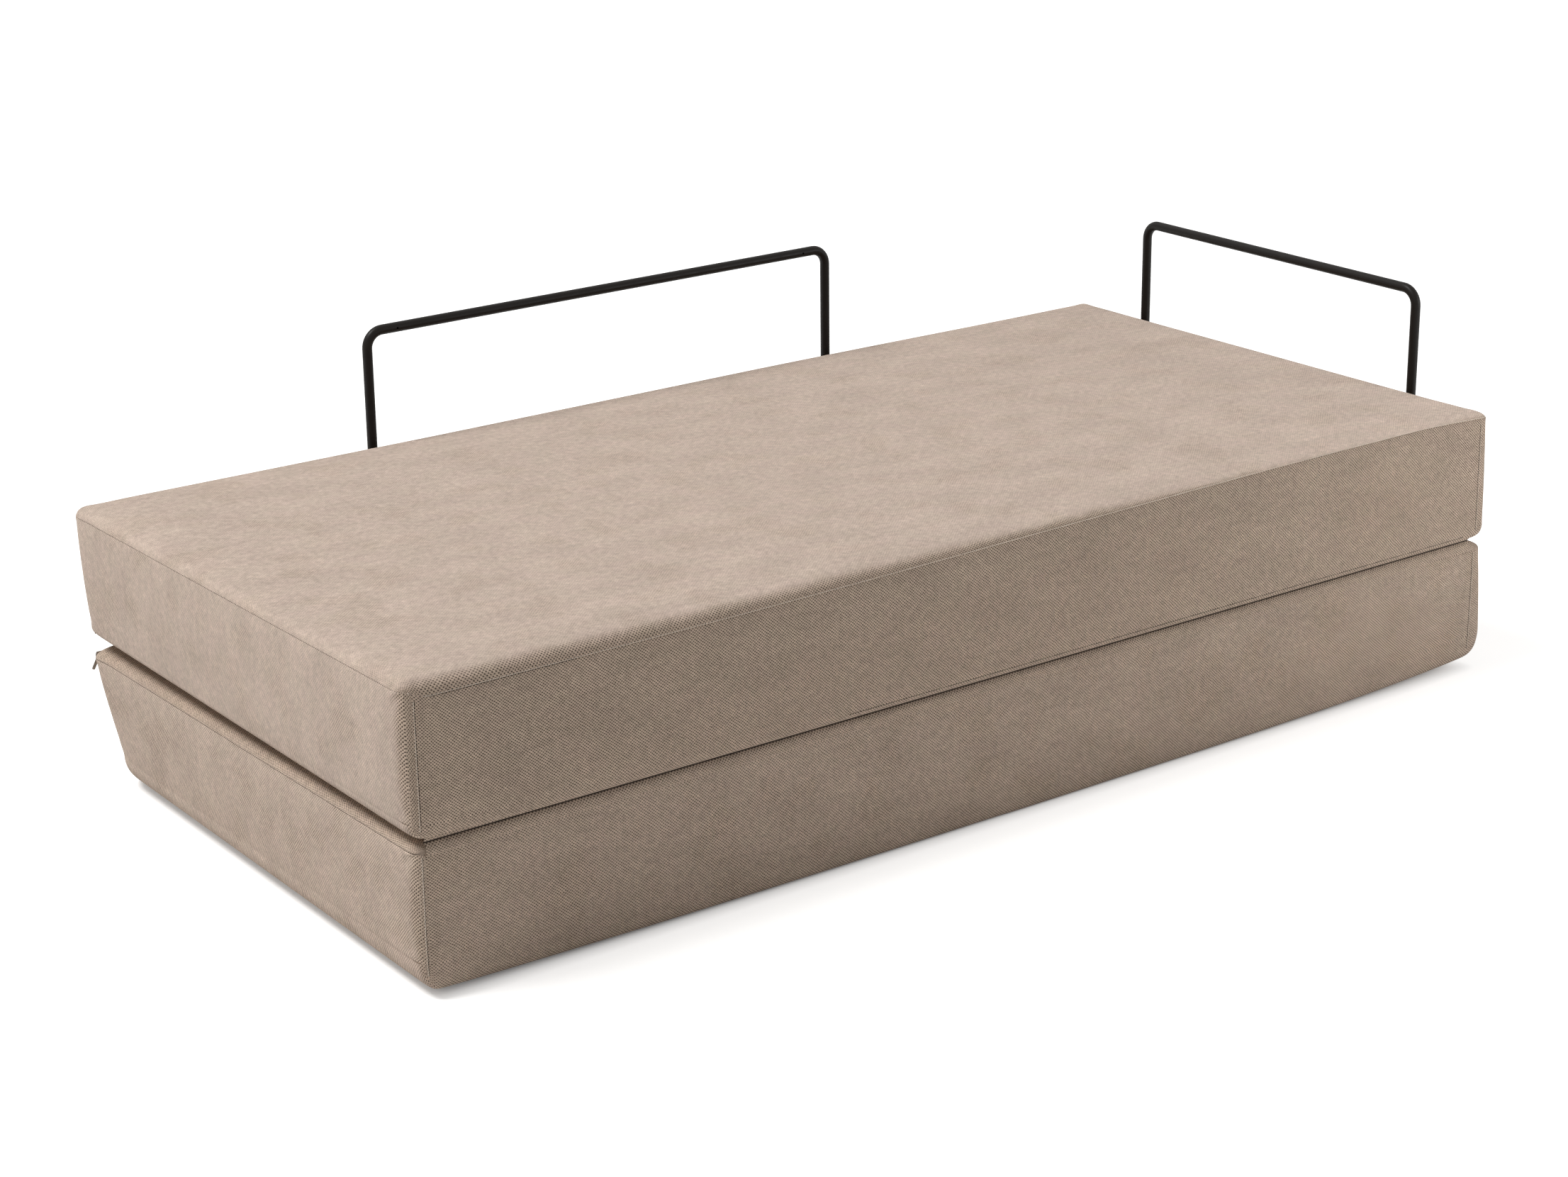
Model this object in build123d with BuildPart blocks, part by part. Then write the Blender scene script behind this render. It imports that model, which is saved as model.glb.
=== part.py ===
import os
from math import cos, radians, sin

from build123d import *

os.makedirs("parts", exist_ok=True)

# Sofa bed: two boxed foam mattresses joined by a fabric fold along the front, and two
# bent steel rails whose flat feet slide under the lower mattress.
# X runs along the front, Y to the back and Z up, in millimetres. The origin is on the
# floor, under the middle of the lower mattress.

# Mattresses
mattress_length = 2000.0
mattress_depth = 960.0
lower_height = 225.0
upper_side_height = 203.0  # from the upper mattress's underside to its top seam
contact_gap = 0.3  # between the two mattresses where they lie on each other
corner_radius = 12.0  # upright sewn corners
corner_gain_share = 0.8  # how much the corners open as an edge rolls inwards

# Edges, from a seam to the flat or the crown: how far each rises, and how far in it goes
floor_edge_rise = 40.0
floor_edge_side = 34.0
floor_edge_end = 140.0
contact_edge_rise = 20.0
contact_edge_front = 16.0
contact_edge_back = 34.0
contact_edge_end = 50.0
crown_rise = 16.0
crown_reach = 200.0
round_angles = (0, 22.5, 45, 67.5, 90)
crown_in_shares = (0, 0.02, 0.06, 0.15, 0.35, 0.65, 1)
crown_up_shares = (0, 0.25, 0.45, 0.65, 0.83, 0.95, 1)

# Sides: how far they swell between the seams, and how far the end seams draw in
back_swell = 6.0
end_swell = 6.0
front_swell = 1.5
end_draw_in = 4.0
side_shares = (0, 0.25, 0.5, 0.75, 1)

# Filling of each mattress
cover_wall = 1.2
wadding_thickness = 8.0
comfort_thickness = 32.0

# Fold: a strip of the cover fabric in two leaves that meet at the hinge line
fold_offset = 2.0  # hinge line to the front seams
strip_thickness = 1.0
strip_hem = 8.0  # stretch of each leaf that is sewn to the side
strip_gap = 0.4  # leaf to the hinge line
strip_end_margin = 20.0

# Zips along the back, in the seam next to the other mattress
zip_end_margin = 8.0
tape_width = 28.0
tape_thickness = 1.0
slot_width = 9.6
neck_width = 2.0
neck_height = 1.7
coil_width = 5.0
coil_thickness = 1.6
stop_length = 2.0
stop_wall = 0.7
slider_length = 12.0
slider_wall = 1.3
slider_lip = 0.8
slider_bevel = 0.5
slide_clearance = 0.3
bridge_radius = 0.8
bridge_post = 1.6
ring_clearance = 0.3
ring_wall = 1.0
ring_width = 2.4
tab_length = 26.0
tab_width = 5.0
tab_thickness = 1.2
tab_slant = 28.0  # degrees, towards the near corner of the mattress

# Rails
tube_radius = 8.0
tube_wall = 1.5
bend_radius = 27.0
back_rail_span = 907.0  # leg centre to leg centre
back_rail_shift = -29.0  # middle of the rail along X
back_rail_height = 618.0  # centre of the bar
back_rail_stand_off = 30.0  # legs to the mattress's back seams
side_rail_span = 642.0
side_rail_shift = 18.0  # middle of the rail along Y
side_rail_height = 605.0
side_rail_stand_off = 25.0
tie_hole_radius = 1.75
tie_hole_inset = 52.0  # leg centre to the small hole on the bar

# Feet, fasteners and pads
foot_width = 40.0
foot_thickness = 5.0
foot_corner = 8.0
foot_tail = 20.0  # leg centre to the outer end
back_foot_reach = 380.0  # leg centre to the inner end
side_foot_reach = 300.0
channel_clearance = 2.0
channel_lift = 0.3
pad_thickness = 2.0
pad_length = 40.0
pad_width = 30.0
pad_corner = 4.0
pad_leg_distance = 50.0
pad_end_margin = 8.0
screw_radius = 4.0
screw_head_radius = 7.5
screw_reach = 18.0  # above the foot
screw_clearance = 0.5
socket_radius = 2.9
socket_depth = 2.4
insert_length = 30.0
insert_floor = 5.0
thread_clearance = 0.05
overrun = 2.0  # cuts run this far past a face

# Heights and planes that several pieces share
lower_seam_low = floor_edge_rise
lower_seam_high = lower_height - contact_edge_rise
upper_base = lower_height + contact_gap
upper_seam_low = upper_base + contact_edge_rise
upper_seam_high = upper_base + upper_side_height
fold_height = lower_height + contact_gap / 2
front_seam_y = -mattress_depth / 2
back_seam_y = mattress_depth / 2
tape_wall = cover_wall + tape_thickness
filling_wall = cover_wall + wadding_thickness
back_rail_y = back_seam_y + back_rail_stand_off
side_rail_x = mattress_length / 2 + side_rail_stand_off
foot_top = pad_thickness + foot_thickness
channel_width = foot_width + 2 * channel_clearance
channel_height = foot_top + channel_lift
back_leg_xs = (back_rail_shift - back_rail_span / 2, back_rail_shift + back_rail_span / 2)
side_leg_ys = (side_rail_shift - side_rail_span / 2, side_rail_shift + side_rail_span / 2)

# Roll of each kind of edge: shares of its reach inwards and of its rise
round_roll = [(1 - cos(radians(a)), sin(radians(a))) for a in round_angles]
crown_roll = list(zip(crown_in_shares, crown_up_shares))


def edge_levels(seam, rise, front, back, end, roll, wall):
    """Heights and draw-ins from a seam to the flat; a negative rise goes down."""
    thin_rise = rise - wall if rise > 0 else rise + wall
    return [
        (
            seam + thin_rise * up,
            wall + (front - wall) * share,
            wall + (back - wall) * share,
            wall + (end - wall) * share,
            (0, 0, -end_draw_in * (1 - share)),
        )
        for share, up in roll
    ]


def side_levels(low, high, wall):
    """Levels between two seams, where the sides swell and the seams draw in."""
    levels = []
    for share in side_shares:
        bow = 1 - (2 * share - 1) ** 2
        bows = (front_swell * bow, back_swell * bow, (end_swell + end_draw_in) * bow - end_draw_in)
        levels.append((low + (high - low) * share, wall, wall, wall, bows))
    return levels


def side_line(start, end, bow):
    """One side of an outline: straight, or an arc that swells out by bow."""
    if round(bow, 6) == 0:
        return Line(start, end)
    return SagittaArc(start, end, -bow)


def cushion_form(stacks, wall):
    """A boxed cushion, lofted edge by edge, with its surface moved in by wall."""
    with BuildPart() as form:
        for levels in stacks:
            for height, front, back, end, (front_bow, back_bow, end_bow) in levels:
                near = front_seam_y + front
                far = back_seam_y - back
                side = mattress_length / 2 - end
                radius = corner_radius + corner_gain_share * (back - wall)
                with BuildSketch(Plane.XY.offset(height)):
                    with BuildLine():
                        side_line((radius - side, near), (side - radius, near), front_bow)
                        CenterArc((side - radius, near + radius), radius, -90, 90)
                        side_line((side, near + radius), (side, far - radius), end_bow)
                        CenterArc((side - radius, far - radius), radius, 0, 90)
                        side_line((side - radius, far), (radius - side, far), back_bow)
                        CenterArc((radius - side, far - radius), radius, 90, 90)
                        side_line((-side, far - radius), (-side, near + radius), end_bow)
                        CenterArc((radius - side, near + radius), radius, 180, 90)
                    make_face()
            loft(ruled=True)
    return form.part


def lower_form(wall):
    """The lower mattress, with the channels that its underside keeps for the feet."""
    floor_edge = (floor_edge_side, floor_edge_side, floor_edge_end)
    contact_edge = (contact_edge_front, contact_edge_back, contact_edge_end)
    stacks = (
        edge_levels(lower_seam_low, -floor_edge_rise, *floor_edge, round_roll, wall),
        side_levels(lower_seam_low, lower_seam_high, wall),
        edge_levels(lower_seam_high, contact_edge_rise, *contact_edge, round_roll, wall),
    )
    body = cushion_form(stacks, wall)
    back_length = back_foot_reach + channel_clearance + wall
    side_length = side_foot_reach + channel_clearance + wall
    with BuildPart() as form:
        add(body)
        with BuildSketch():
            with Locations(*[(x, back_rail_y - back_length / 2) for x in back_leg_xs]):
                Rectangle(channel_width + 2 * wall, back_length)
            with Locations(*[(side_rail_x - side_length / 2, y) for y in side_leg_ys]):
                Rectangle(side_length, channel_width + 2 * wall)
        extrude(amount=channel_height + wall, mode=Mode.SUBTRACT)
    return form.part


def upper_form(wall):
    """The upper mattress, pressed flat below and crowned on top."""
    contact_edge = (contact_edge_front, contact_edge_back, contact_edge_end)
    crown = (crown_reach, crown_reach, crown_reach)
    stacks = (
        edge_levels(upper_seam_low, -contact_edge_rise, *contact_edge, round_roll, wall),
        side_levels(upper_seam_low, upper_seam_high, wall),
        edge_levels(upper_seam_high, crown_rise, *crown, crown_roll, wall),
    )
    return cushion_form(stacks, wall)


def save(piece, name):
    piece.part.label = name
    export_step(piece.part, f"parts/{name}.step")


# Each mattress: its form, the height of its zip, its foam's floor and top, its fold leaf's
# middle, and the end where its zip's slider is parked
leaf_height = contact_edge_rise + strip_hem - strip_gap
mattresses = {
    "lower": {
        "form": lower_form,
        "zip_height": lower_seam_high,
        "foam_low": 0,
        "foam_high": lower_height,
        "leaf_middle": fold_height - strip_gap - leaf_height / 2,
        "park": -1,
    },
    "upper": {
        "form": upper_form,
        "zip_height": upper_seam_low,
        "foam_low": upper_base,
        "foam_high": upper_seam_high + crown_rise,
        "leaf_middle": fold_height + strip_gap + leaf_height / 2,
        "park": 1,
    },
}

# Zip sizes outwards from the back seam
coil_base = back_seam_y + neck_height
coil_face = coil_base + coil_thickness
lip_base = coil_base - slide_clearance - slider_lip
slider_inside = coil_width / 2 + slide_clearance
slider_face = coil_face + slide_clearance + slider_wall
ring_radius = bridge_radius + ring_clearance + ring_wall
bridge_y = slider_face + ring_clearance + ring_radius
zip_length = mattress_length - 2 * zip_end_margin
slider_park_x = zip_length / 2 - stop_length - slide_clearance - slider_length / 2

for name, values in mattresses.items():
    form = values["form"]
    outer_form = form(0)
    tape_form = form(cover_wall)
    under_tape_form = form(tape_wall)
    filling_form = form(filling_wall)
    zip_height = values["zip_height"]
    park = values["park"]

    # Woven cover, a shell that is open only along its zip
    with BuildPart() as cover:
        add(outer_form)
        add(tape_form, mode=Mode.SUBTRACT)
        with BuildSketch(Plane.XZ.offset(-back_seam_y - overrun)):
            with Locations((0, zip_height)):
                Rectangle(zip_length, slot_width)
        extrude(amount=overrun + 2 * cover_wall, mode=Mode.SUBTRACT)
    save(cover, f"{name}_cover")

    # Zip tapes, sewn inside the cover on both sides of the coil
    with BuildPart() as zip_tape:
        add(tape_form)
        add(under_tape_form, mode=Mode.SUBTRACT)
        with BuildSketch(Plane.XZ.offset(-back_seam_y - back_swell)):
            with Locations((0, zip_height)):
                Rectangle(zip_length, tape_width)
        extrude(amount=back_swell + contact_edge_back, mode=Mode.INTERSECT)
        with BuildSketch(Plane.XZ.offset(-back_seam_y - back_swell)):
            with Locations((0, zip_height)):
                Rectangle(zip_length, neck_width)
        extrude(amount=back_swell + contact_edge_back, mode=Mode.SUBTRACT)
    save(zip_tape, f"{name}_zip_tape")

    # Zip coil, closed, standing on its neck between the tapes
    with BuildPart() as zip_coil:
        with BuildSketch(Plane.YZ) as coil_section:
            with Locations((back_seam_y - tape_wall, zip_height)):
                Rectangle(tape_wall + neck_height, neck_width, align=(Align.MIN, Align.CENTER))
            with Locations((coil_base, zip_height)):
                Rectangle(coil_thickness, coil_width, align=(Align.MIN, Align.CENTER))
        extrude(amount=zip_length / 2, both=True)
    save(zip_coil, f"{name}_zip_coil")

    # Stops, clenched over both ends of the coil
    with BuildPart() as zip_stops:
        with BuildSketch(Plane.YZ.offset(zip_length / 2 - stop_length)):
            with Locations((coil_base - stop_wall, zip_height)):
                Rectangle(
                    coil_thickness + 2 * stop_wall,
                    coil_width + 2 * stop_wall,
                    align=(Align.MIN, Align.CENTER),
                )
        extrude(amount=stop_length)
        mirror(about=Plane.YZ)
        add(zip_coil.part, mode=Mode.SUBTRACT)
    save(zip_stops, f"{name}_zip_stops")

    # Slider, a channel round the coil with a bridge for its pull
    slider_x = park * slider_park_x
    with BuildPart() as zip_slider:
        with BuildSketch(Plane.YZ.offset(slider_x)):
            with Locations((lip_base, zip_height)):
                Rectangle(
                    slider_face - lip_base,
                    2 * (slider_inside + slider_wall),
                    align=(Align.MIN, Align.CENTER),
                )
            with Locations((lip_base, zip_height)):
                Rectangle(
                    slider_lip,
                    neck_width + 2 * slide_clearance,
                    align=(Align.MIN, Align.CENTER),
                    mode=Mode.SUBTRACT,
                )
            with Locations((lip_base + slider_lip, zip_height)):
                Rectangle(
                    coil_thickness + 2 * slide_clearance,
                    2 * slider_inside,
                    align=(Align.MIN, Align.CENTER),
                    mode=Mode.SUBTRACT,
                )
        extrude(amount=slider_length / 2, both=True)
        chamfer(faces().sort_by(Axis.Y)[-1].edges(), length=slider_bevel)
        with BuildSketch(Plane.XZ.offset(-slider_face)):
            with Locations((slider_x, zip_height)):
                with GridLocations(slider_length - 2 * bridge_post, 0, 2, 1):
                    Rectangle(bridge_post, 2 * bridge_radius)
        extrude(amount=slider_face - bridge_y)
        with BuildSketch(Plane.YZ.offset(slider_x)):
            with Locations((bridge_y, zip_height)):
                Circle(bridge_radius)
        extrude(amount=slider_length / 2 - bridge_post / 2, both=True)
    save(zip_slider, f"{name}_zip_slider")

    # Pull, a ring round the bridge and a narrow tab that hangs at a slant
    tab_plane = Plane(
        origin=(slider_x, bridge_y, zip_height),
        x_dir=(cos(radians(tab_slant)), 0, park * sin(radians(tab_slant))),
        z_dir=(0, 1, 0),
    )
    with BuildPart() as zip_pull:
        with BuildSketch(tab_plane.offset(-tab_thickness / 2)):
            with Locations((0, bridge_radius + ring_clearance)):
                RectangleRounded(
                    tab_width,
                    tab_length,
                    tab_width / 2 - tab_thickness / 2,
                    align=(Align.CENTER, Align.MIN),
                )
        extrude(amount=tab_thickness)
        with BuildSketch(Plane.YZ.offset(slider_x)):
            with Locations((bridge_y, zip_height)):
                Circle(ring_radius)
        extrude(amount=ring_width / 2, both=True)
        with BuildSketch(Plane.YZ.offset(slider_x)):
            with Locations((bridge_y, zip_height)):
                Circle(bridge_radius + ring_clearance)
        extrude(amount=tab_width, both=True, mode=Mode.SUBTRACT)
    save(zip_pull, f"{name}_zip_pull")

    # Fibre wadding round the foam, pressed in where the zip tape lies
    with BuildPart() as wadding:
        add(tape_form)
        add(filling_form, mode=Mode.SUBTRACT)
        add(zip_tape.part, mode=Mode.SUBTRACT)
        add(zip_coil.part, mode=Mode.SUBTRACT)
    save(wadding, f"{name}_wadding")

    # Foam: a firm core between two soft layers
    core_low = values["foam_low"] + filling_wall + comfort_thickness
    core_high = values["foam_high"] - filling_wall - comfort_thickness
    with BuildPart() as foam_core:
        add(filling_form)
        split(bisect_by=Plane.XY.offset(core_low), keep=Keep.TOP)
        split(bisect_by=Plane.XY.offset(core_high), keep=Keep.BOTTOM)
    save(foam_core, f"{name}_foam_core")

    with BuildPart() as bottom_foam:
        add(filling_form)
        split(bisect_by=Plane.XY.offset(core_low), keep=Keep.BOTTOM)
    save(bottom_foam, f"{name}_bottom_foam")

    with BuildPart() as top_foam:
        add(filling_form)
        split(bisect_by=Plane.XY.offset(core_high), keep=Keep.TOP)
    save(top_foam, f"{name}_top_foam")

    # Leaf of the fold strip, sewn to the front of the cover
    with BuildPart() as fold_leaf:
        with BuildSketch(Plane.XZ.offset(-front_seam_y)):
            with Locations((0, values["leaf_middle"])):
                Rectangle(mattress_length - 2 * strip_end_margin, leaf_height)
        extrude(amount=strip_thickness)
        add(outer_form, mode=Mode.SUBTRACT)
    save(fold_leaf, f"{name}_fold_leaf")


# Each rail stands in a plane of its own, whose X runs along the bar and whose Y is up
rails = {
    "back": {
        "plane": Plane(origin=(back_rail_shift, back_rail_y, 0), x_dir=(1, 0, 0), z_dir=(0, -1, 0)),
        "span": back_rail_span,
        "height": back_rail_height,
        "reach": back_foot_reach,
    },
    "side": {
        "plane": Plane(origin=(side_rail_x, side_rail_shift, 0), x_dir=(0, 1, 0), z_dir=(1, 0, 0)),
        "span": side_rail_span,
        "height": side_rail_height,
        "reach": side_foot_reach,
    },
}

for name, values in rails.items():
    rail_plane = values["plane"]
    span = values["span"]
    height = values["height"]
    reach = values["reach"]
    inwards = rail_plane.z_dir if name == "back" else -rail_plane.z_dir
    legs = [rail_plane.origin + rail_plane.x_dir * place for place in (-span / 2, span / 2)]

    # Bent tube: two legs and a bar
    with BuildPart() as tube:
        with BuildLine(rail_plane) as route:
            FilletPolyline(
                (-span / 2, foot_top),
                (-span / 2, height),
                (span / 2, height),
                (span / 2, foot_top),
                radius=bend_radius,
            )
        with BuildSketch(Plane(origin=legs[0] + (0, 0, foot_top), z_dir=(0, 0, 1))):
            Circle(tube_radius)
            Circle(tube_radius - tube_wall, mode=Mode.SUBTRACT)
        sweep(path=route.wire())
        if name == "back":
            with BuildSketch(rail_plane):
                with Locations((0, height)):
                    with GridLocations(span - 2 * tie_hole_inset, 0, 2, 1):
                        Circle(tie_hole_radius)
            extrude(amount=tube_radius + overrun, mode=Mode.SUBTRACT)
    save(tube, f"{name}_rail_tube")

    # Flat feet, one under each leg, with a countersunk hole from below
    for side_name, leg in zip(("left", "right") if name == "back" else ("front", "rear"), legs):
        foot_plane = Plane(origin=leg, x_dir=inwards, z_dir=(0, 0, 1))
        under_plane = Plane(origin=leg + (0, 0, pad_thickness), x_dir=inwards, z_dir=(0, 0, -1))
        with BuildPart() as foot:
            with BuildSketch(foot_plane.offset(pad_thickness)):
                with Locations((-foot_tail, 0)):
                    RectangleRounded(
                        foot_tail + reach,
                        foot_width,
                        foot_corner,
                        align=(Align.MIN, Align.CENTER),
                    )
            extrude(amount=foot_thickness)
            with Locations(under_plane):
                CounterSinkHole(
                    screw_radius + screw_clearance,
                    screw_head_radius + screw_clearance,
                    depth=foot_thickness + overrun,
                    counter_sink_angle=90,
                )
        save(foot, f"{name}_rail_{side_name}_foot")

    # Threaded inserts, pressed into the ends of the tube
    with BuildPart() as inserts:
        with Locations(*[leg + (0, 0, foot_top) for leg in legs]):
            Cylinder(
                tube_radius - tube_wall,
                insert_length,
                align=(Align.CENTER, Align.CENTER, Align.MIN),
            )
            Cylinder(
                screw_radius + thread_clearance,
                insert_length - insert_floor,
                align=(Align.CENTER, Align.CENTER, Align.MIN),
                mode=Mode.SUBTRACT,
            )
    save(inserts, f"{name}_rail_inserts")

    # Countersunk screws with a hexagon socket, heads just above the feet's undersides
    with BuildPart() as screws:
        with Locations(*[leg + (0, 0, pad_thickness) for leg in legs]):
            Cone(
                screw_head_radius,
                screw_radius,
                screw_head_radius - screw_radius,
                align=(Align.CENTER, Align.CENTER, Align.MIN),
            )
            Cylinder(
                screw_radius,
                foot_thickness + screw_reach,
                align=(Align.CENTER, Align.CENTER, Align.MIN),
            )
        with BuildSketch(Plane.XY.offset(pad_thickness)):
            with Locations(*legs):
                RegularPolygon(socket_radius, 6)
        extrude(amount=socket_depth, mode=Mode.SUBTRACT)
    save(screws, f"{name}_rail_screws")

    # Felt pads between the feet and the floor
    pad_places = (pad_leg_distance, reach - pad_end_margin - pad_length / 2)
    with BuildPart() as pads:
        for leg in legs:
            with BuildSketch(Plane(origin=leg, x_dir=inwards, z_dir=(0, 0, 1))):
                with Locations(*[(place, 0) for place in pad_places]):
                    RectangleRounded(pad_length, pad_width, pad_corner)
        extrude(amount=pad_thickness)
    save(pads, f"{name}_rail_floor_pads")
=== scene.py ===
import math
from bisect import bisect

import bmesh
import bpy
from mathutils import Matrix, Vector, noise
from mathutils.bvhtree import BVHTree


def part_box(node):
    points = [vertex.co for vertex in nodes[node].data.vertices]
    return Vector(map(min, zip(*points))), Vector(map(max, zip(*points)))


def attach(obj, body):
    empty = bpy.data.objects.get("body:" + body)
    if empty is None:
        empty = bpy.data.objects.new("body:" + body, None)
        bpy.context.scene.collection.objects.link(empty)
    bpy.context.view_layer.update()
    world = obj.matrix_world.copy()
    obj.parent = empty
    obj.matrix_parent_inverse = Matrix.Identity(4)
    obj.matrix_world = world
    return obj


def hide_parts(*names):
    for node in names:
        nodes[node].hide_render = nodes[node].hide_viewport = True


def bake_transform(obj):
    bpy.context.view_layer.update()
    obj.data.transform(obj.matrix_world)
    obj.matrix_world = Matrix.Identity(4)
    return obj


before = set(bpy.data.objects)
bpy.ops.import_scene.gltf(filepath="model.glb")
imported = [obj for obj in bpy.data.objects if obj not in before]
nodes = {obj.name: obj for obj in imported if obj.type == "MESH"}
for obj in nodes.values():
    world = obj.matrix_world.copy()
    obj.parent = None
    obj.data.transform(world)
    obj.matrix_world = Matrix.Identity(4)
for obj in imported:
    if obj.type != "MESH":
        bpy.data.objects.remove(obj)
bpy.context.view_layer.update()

scene = bpy.context.scene
print("frame loaded, CAD nodes:", len(nodes))


# small helpers

def smooth(value, low, high):
    # 0 below low, 1 above high, eased between
    t = min(1.0, max(0.0, (value - low) / (high - low)))
    return t * t * (3 - 2 * t)


def mixed(first, second, share):
    return first + (second - first) * share


def addObject(name, mesh):
    piece = bpy.data.objects.new(name, mesh)
    scene.collection.objects.link(piece)
    return piece


def meshFrom(bm, name):
    mesh = bpy.data.meshes.new(name)
    bm.to_mesh(mesh)
    bm.free()
    mesh.shade_smooth()
    return mesh


def subdivided(piece):
    modifier = piece.modifiers.new("finer", "SUBSURF")
    modifier.levels = 1
    modifier.render_levels = 1
    modifier.use_limit_surface = False


def bakeModifiers(piece):
    # the mesh as its modifiers leave it becomes the piece's own mesh
    graph = bpy.context.evaluated_depsgraph_get()
    made = bpy.data.meshes.new_from_object(piece.evaluated_get(graph), depsgraph=graph)
    piece.modifiers.clear()
    piece.data = made


# camera and studio

cameraFacts = {
    "imageWidth": 2212,
    "focalPixels": 4528,
    "sensorWidth": 36.0,
    "eye": (-2.887, -3.791, 1.883),
    "yaw": 36.79,
    "pitch": 19.16,
    "roll": -0.61,
}
# Strengths in watts, places in metres. The glow is what the camera alone sees of the floor
studioFacts = {
    "floorSize": 40.0,
    "floorColour": (0.80, 0.795, 0.785, 1),
    "floorGlow": 0.66,
    "contactReach": 0.026,
    "contactFade": 0.6,
    "skyColour": (1.0, 0.985, 0.96, 1),
    "skyStrength": 0.218,
    "lamps": {
        "keyLamp": {"place": (-7.0, 3.0, 13.0), "aim": (0.3, 0, 0.3),
                    "size": (5.5, 5.0), "power": 1790},
        "fillLamp": {"place": (2.05, -1.75, 0.9), "aim": (0.9, -0.5, 0.25),
                     "size": (1.0, 0.9), "power": 15},
    },
}


def makeCamera(facts):
    yaw = math.radians(facts["yaw"])
    pitch = math.radians(facts["pitch"])
    level = math.cos(pitch)
    forward = Vector((math.sin(yaw) * level, math.cos(yaw) * level, -math.sin(pitch)))
    right = Vector((math.cos(yaw), -math.sin(yaw), 0))
    turn = Matrix.Rotation(math.radians(facts["roll"]), 3, -forward)
    right = turn @ right
    up = right.cross(forward)
    camera = bpy.data.cameras.new("photoCamera")
    camera.sensor_fit = "HORIZONTAL"
    camera.sensor_width = facts["sensorWidth"]
    camera.lens = facts["focalPixels"] * facts["sensorWidth"] / facts["imageWidth"]
    camera.clip_end = 100
    holder = addObject("photoCamera", camera)
    axes = Matrix((right, up, -forward)).transposed().to_4x4()
    holder.matrix_world = Matrix.Translation(facts["eye"]) @ axes
    scene.camera = holder


def makeLamp(name, facts):
    light = bpy.data.lights.new(name, "AREA")
    light.shape = "RECTANGLE"
    light.size, light.size_y = facts["size"]
    light.energy = facts["power"]
    holder = addObject(name, light)
    holder.visible_camera = False
    place = Vector(facts["place"])
    holder.location = place
    holder.rotation_euler = (Vector(facts["aim"]) - place).to_track_quat("-Z", "Y").to_euler()


def largerOf(tree, first, second):
    made = tree.nodes.new("ShaderNodeMath")
    made.operation = "MAXIMUM"
    tree.links.new(first, made.inputs[0])
    tree.links.new(second, made.inputs[1])
    return made.outputs[0]


def seenDirectly(tree):
    # 1 for the camera, and for what metal and glass mirror
    ray = tree.nodes.new("ShaderNodeLightPath").outputs
    mirrored = largerOf(tree, ray["Is Glossy Ray"], ray["Is Transmission Ray"])
    return largerOf(tree, ray["Is Camera Ray"], mirrored)


def makeFloor(facts):
    bm = bmesh.new()
    bmesh.ops.create_grid(bm, x_segments=1, y_segments=1, size=facts["floorSize"] / 2)
    floor = addObject("studioFloor", meshFrom(bm, "studioFloor"))
    material = bpy.data.materials.new("studioFloor")
    material.use_nodes = True
    tree = material.node_tree
    tree.nodes.clear()
    paint = tree.nodes.new("ShaderNodeBsdfDiffuse")
    paint.inputs["Color"].default_value = facts["floorColour"]
    glow = tree.nodes.new("ShaderNodeEmission")
    glowStrength = tree.nodes.new("ShaderNodeMath")
    glowStrength.operation = "MULTIPLY"
    glowStrength.inputs[1].default_value = facts["floorGlow"]
    tree.links.new(seenDirectly(tree), glowStrength.inputs[0])
    # the glow fades where the object touches the floor
    contact = tree.nodes.new("ShaderNodeAmbientOcclusion")
    contact.samples = 8
    contact.inputs["Distance"].default_value = facts["contactReach"]
    fade = tree.nodes.new("ShaderNodeGamma")
    fade.inputs["Gamma"].default_value = facts["contactFade"]
    tree.links.new(contact.outputs["Color"], fade.inputs["Color"])
    tree.links.new(fade.outputs[0], glow.inputs["Color"])
    tree.links.new(glowStrength.outputs[0], glow.inputs["Strength"])
    both = tree.nodes.new("ShaderNodeAddShader")
    tree.links.new(paint.outputs[0], both.inputs[0])
    tree.links.new(glow.outputs[0], both.inputs[1])
    out = tree.nodes.new("ShaderNodeOutputMaterial")
    tree.links.new(both.outputs[0], out.inputs["Surface"])
    floor.data.materials.append(material)


def makeWorld(facts):
    world = bpy.data.worlds.new("studioSky")
    world.use_nodes = True
    tree = world.node_tree
    tree.nodes.clear()
    sky = tree.nodes.new("ShaderNodeBackground")
    sky.inputs["Color"].default_value = facts["skyColour"]
    sky.inputs["Strength"].default_value = facts["skyStrength"]
    backdrop = tree.nodes.new("ShaderNodeBackground")
    backdrop.inputs["Color"].default_value = (1, 1, 1, 1)
    mix = tree.nodes.new("ShaderNodeMixShader")
    tree.links.new(seenDirectly(tree), mix.inputs["Fac"])
    tree.links.new(sky.outputs[0], mix.inputs[1])
    tree.links.new(backdrop.outputs[0], mix.inputs[2])
    out = tree.nodes.new("ShaderNodeOutputWorld")
    tree.links.new(mix.outputs[0], out.inputs["Surface"])
    scene.world = world


scene.view_settings.view_transform = "Standard"
makeCamera(cameraFacts)
makeFloor(studioFacts)
makeWorld(studioFacts)
for lampName, lampFacts in studioFacts["lamps"].items():
    makeLamp(lampName, lampFacts)
print("camera and studio set")


# materials

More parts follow.
